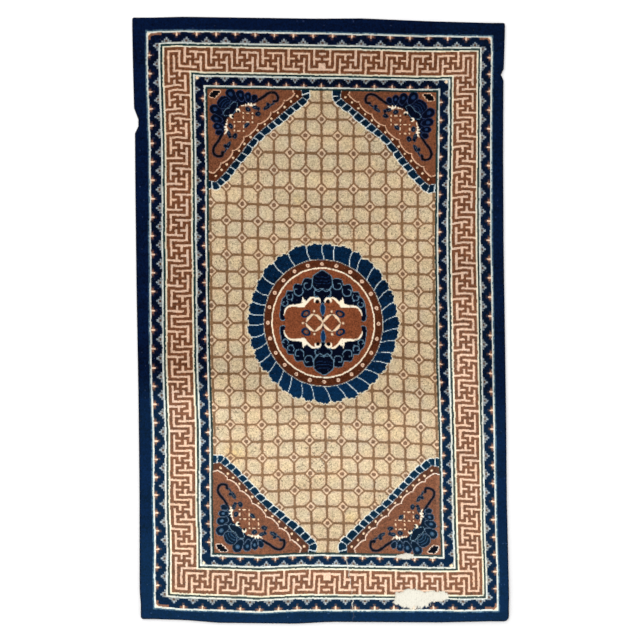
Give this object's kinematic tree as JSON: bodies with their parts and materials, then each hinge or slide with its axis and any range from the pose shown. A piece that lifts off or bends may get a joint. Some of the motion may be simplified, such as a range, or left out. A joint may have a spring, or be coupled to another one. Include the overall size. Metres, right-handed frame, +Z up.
{
  "type": "chinese rug",
  "caption": "Flat rectangular hand-knotted wool pile rug with uneven edges, a round medallion, corner pieces and a key-fret border, worn bare in places.",
  "frame": {"origin": "centre of the underside of the bounding box, on the floor the rug lies on", "axes": "+Z up, +Y along the rug's length, +X across its width"},
  "size_m": [1.2427, 2.0001, 0.0115],
  "materials": {
    "wool_pile": "matt cut wool pile, tan field with navy, rust and cream pattern"
  },
  "bodies": {
    "root": {"rug": "wool_pile"}
  },
  "joints": []
}
